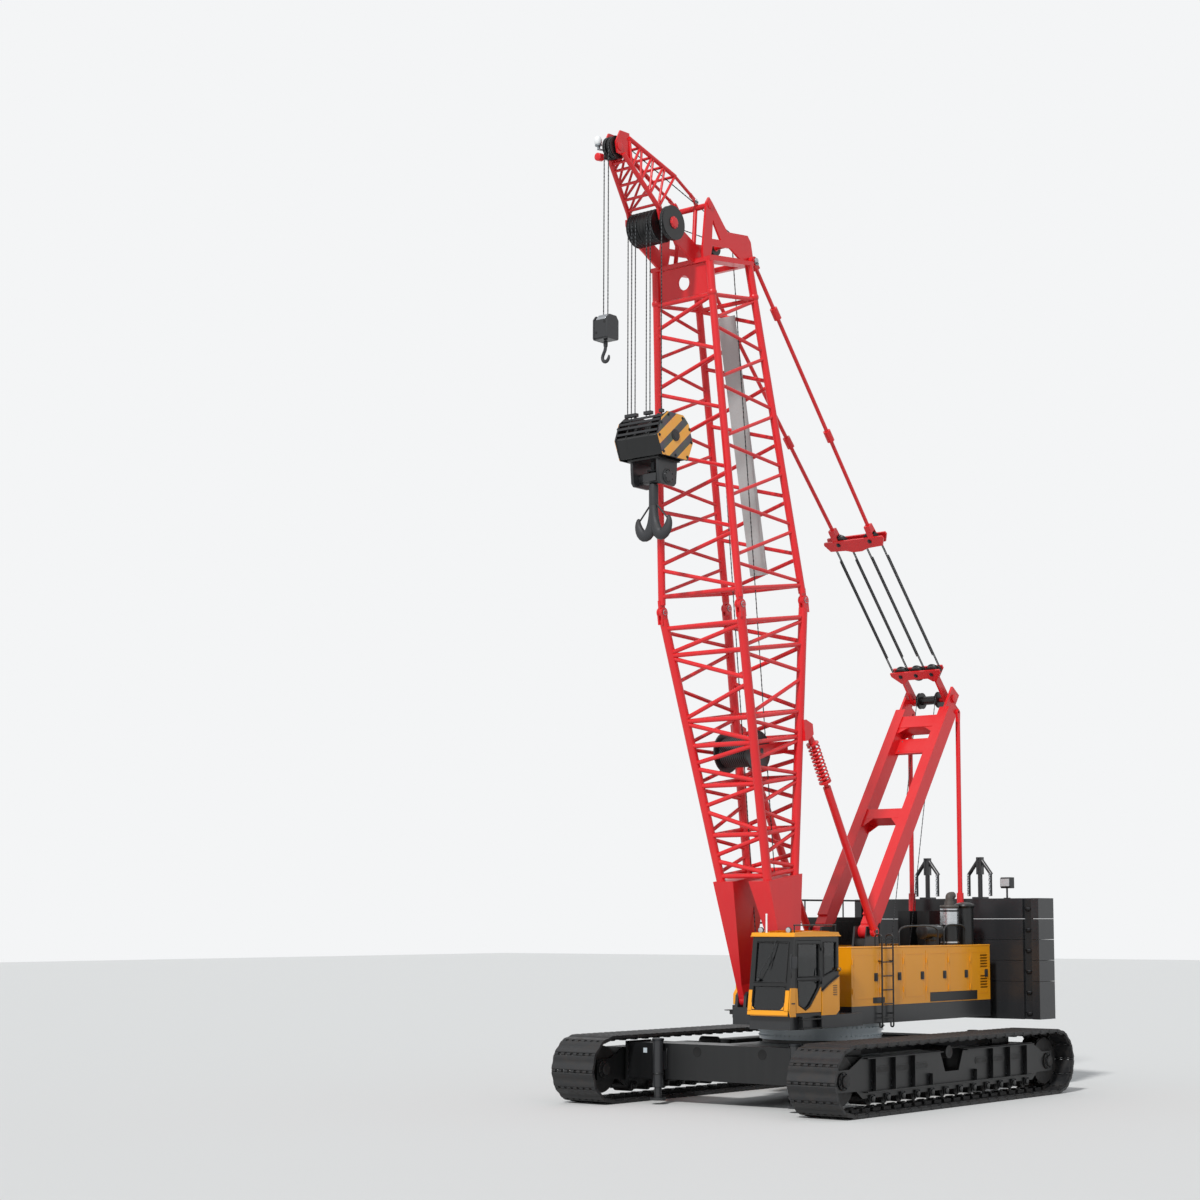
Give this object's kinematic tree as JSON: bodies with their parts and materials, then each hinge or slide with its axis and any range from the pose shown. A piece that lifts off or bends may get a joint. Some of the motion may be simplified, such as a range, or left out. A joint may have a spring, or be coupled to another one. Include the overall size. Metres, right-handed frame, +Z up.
{
  "type": "crawler crane",
  "caption": "Crawler crane with lattice boom and tip jib, gantry mast, luffing stays, stacked counterweight, cab and two hook blocks; it slews, luffs and hoists.",
  "frame": {"origin": "on the ground, on the slewing axis", "axes": "+X the way the boom points, +Y to the cab's side, +Z up"},
  "size_m": [13.5817, 7.12, 19.2927],
  "materials": {
    "bare_steel": "satin",
    "dark_paint": "satin",
    "glass": "gloss",
    "grating": "satin",
    "hook_steel": "satin",
    "red_paint": "gloss",
    "rope_steel": "rough",
    "seat_plastic": "matte",
    "track_steel": "rough",
    "yellow_paint": "gloss"
  },
  "bodies": {
    "undercarriage": {"carbody": "dark_paint", "carbody_jacks": "dark_paint", "ring_lower": "bare_steel", "track_frame_left": "dark_paint", "track_frame_right": "dark_paint", "track_left": "track_steel", "track_right": "track_steel", "track_wheels_left": "dark_paint", "track_wheels_right": "dark_paint"},
    "upperworks": {"slewing_deck": "dark_paint", "ring_upper": "bare_steel", "engine_house": "yellow_paint", "machinery_house": "yellow_paint", "engine_block": "dark_paint", "cab_shell": "dark_paint", "cab_roof": "yellow_paint", "cab_trim": "yellow_paint", "cab_glass": "glass", "cab_seat": "seat_plastic", "counterweight_base": "dark_paint", "counterweight_slabs": "dark_paint", "weight_lifters": "dark_paint", "roof_equipment": "dark_paint", "ladder": "dark_paint", "handrails": "dark_paint", "mast": "red_paint", "mast_links": "red_paint"},
    "cab_door": {"cab_door": "dark_paint", "door_glass": "glass"},
    "main_drum": {"main_drum": "bare_steel"},
    "aux_drum": {"aux_drum": "bare_steel"},
    "luffing_drum": {"luffing_drum": "bare_steel"},
    "mast_sheaves": {"mast_sheaves": "dark_paint"},
    "mast_harp": {"mast_harp": "red_paint", "mast_harp_wheels": "dark_paint", "mast_ropes": "rope_steel"},
    "mast_rope": {"mast_ropes_long": "rope_steel"},
    "boom": {"boom_base": "red_paint", "boom_top": "red_paint", "boom_head": "red_paint", "boom_walkway": "grating", "tip_jib": "red_paint"},
    "boom_drum": {"boom_drum": "dark_paint"},
    "head_sheaves": {"head_sheaves": "dark_paint"},
    "tip_sheaves": {"tip_sheaves": "dark_paint"},
    "stay": {"pendants": "red_paint", "pendant_harp": "red_paint", "pendant_harp_wheels": "dark_paint", "harp_ropes": "rope_steel"},
    "stay_rope": {"harp_ropes_long": "rope_steel"},
    "backstop_tubes": {"backstop_tubes": "red_paint"},
    "backstop_rods": {"backstop_rods": "red_paint"},
    "main_falls": {"main_falls": "rope_steel"},
    "main_block": {"main_block": "dark_paint"},
    "main_hook": {"main_hook": "hook_steel"},
    "aux_fall": {"aux_fall": "rope_steel"},
    "aux_block": {"aux_block": "dark_paint"},
    "aux_hook": {"aux_hook": "hook_steel"}
  },
  "joints": [
    {"name": "slew", "type": "hinge", "parent": "undercarriage", "child": "upperworks", "pos_m": [0, 0, 1.43], "axis": [0, 0, 1], "continuous": true},
    {"name": "boom_luff", "type": "hinge", "parent": "upperworks", "child": "boom", "pos_m": [1.85, 0, 2.1], "axis": [0, 1, 0], "range_deg": [-1.5, 51.5]},
    {"name": "main_swing", "type": "hinge", "parent": "boom", "child": "main_falls", "pos_m": [5.62894, 0, 17.64733], "axis": [0, 1, 0], "range_deg": [-53, 53]},
    {"name": "main_hoist", "type": "slide", "parent": "main_falls", "child": "main_block", "axis": [0, 0, 1], "range_m": [-11, 1.6], "deforming": ["main_falls"]},
    {"name": "main_hook_turn", "type": "hinge", "parent": "main_block", "child": "main_hook", "pos_m": [5.62894, 0, 12.44733], "axis": [0, 0, 1], "continuous": true},
    {"name": "aux_swing", "type": "hinge", "parent": "boom", "child": "aux_fall", "pos_m": [6.89498, 0, 18.9482], "axis": [0, 1, 0], "range_deg": [-53, 53]},
    {"name": "aux_hoist", "type": "slide", "parent": "aux_fall", "child": "aux_block", "axis": [0, 0, 1], "range_m": [-13.8, 2.4], "deforming": ["aux_fall"]},
    {"name": "aux_hook_turn", "type": "hinge", "parent": "aux_block", "child": "aux_hook", "pos_m": [7.11198, 0, 14.9482], "axis": [0, 0, 1], "continuous": true},
    {"name": "stay_swing", "type": "hinge", "parent": "boom", "child": "stay", "pos_m": [3.17241, 0, 17.39935], "axis": [0, 1, 0], "range_deg": [-9, 9]},
    {"name": "stay_rope_reach", "type": "slide", "parent": "stay", "child": "stay_rope", "axis": [-0.6686, 0, -0.7436], "range_m": [-0.2, 3.3]},
    {"name": "mast_harp_swing", "type": "hinge", "parent": "upperworks", "child": "mast_harp", "pos_m": [-4.53474, 0, 8.82833], "axis": [0, 1, 0], "range_deg": [-9, 54]},
    {"name": "mast_rope_reach", "type": "slide", "parent": "mast_harp", "child": "mast_rope", "axis": [0.6686, 0, 0.7436], "range_m": [-0.2, 3.3]},
    {"name": "backstop_swing", "type": "hinge", "parent": "upperworks", "child": "backstop_tubes", "pos_m": [-0.8, 0, 3.5], "axis": [0, 1, 0], "range_deg": [-9, 54]},
    {"name": "backstop_reach", "type": "slide", "parent": "backstop_tubes", "child": "backstop_rods", "axis": [0.4992, 0, 0.8665], "range_m": [-0.2, 2.7]},
    {"name": "cab_door_swing", "type": "hinge", "parent": "upperworks", "child": "cab_door", "pos_m": [2.544, 1.836, 2.6], "axis": [0, 0, 1], "range_deg": [0, 100]},
    {"name": "main_drum_turn", "type": "hinge", "parent": "upperworks", "child": "main_drum", "pos_m": [-0.3, 0, 2.48], "axis": [0, 1, 0], "continuous": true},
    {"name": "aux_drum_turn", "type": "hinge", "parent": "upperworks", "child": "aux_drum", "pos_m": [-1.65, 0, 2.48], "axis": [0, 1, 0], "continuous": true},
    {"name": "luffing_drum_turn", "type": "hinge", "parent": "upperworks", "child": "luffing_drum", "pos_m": [-2.75, 0, 2.48], "axis": [0, 1, 0], "continuous": true},
    {"name": "boom_drum_turn", "type": "hinge", "parent": "boom", "child": "boom_drum", "pos_m": [2.74619, 0, 7.20409], "axis": [0, 1, 0], "continuous": true},
    {"name": "head_sheaves_turn", "type": "hinge", "parent": "boom", "child": "head_sheaves", "pos_m": [5.62894, 0, 17.64733], "axis": [0, 1, 0], "continuous": true},
    {"name": "tip_sheaves_turn", "type": "hinge", "parent": "boom", "child": "tip_sheaves", "pos_m": [6.89498, 0, 18.9482], "axis": [0, 1, 0], "continuous": true},
    {"name": "mast_sheaves_turn", "type": "hinge", "parent": "upperworks", "child": "mast_sheaves", "pos_m": [-4.53474, 0, 8.82833], "axis": [0, 1, 0], "continuous": true}
  ],
  "couplings": [
    {"joint": "main_swing", "follows": "boom_luff", "ratio": -1},
    {"joint": "aux_swing", "follows": "boom_luff", "ratio": -1},
    {"joint": "stay_swing", "follows": "boom_luff", "ratio": -0.1296},
    {"joint": "mast_harp_swing", "follows": "boom_luff", "ratio": 0.8704},
    {"joint": "stay_rope_reach", "follows": "boom_luff", "m_per_rad": 2.86},
    {"joint": "mast_rope_reach", "follows": "boom_luff", "m_per_rad": 2.86},
    {"joint": "backstop_swing", "follows": "boom_luff", "ratio": 0.81},
    {"joint": "backstop_reach", "follows": "boom_luff", "m_per_rad": 2.87}
  ]
}
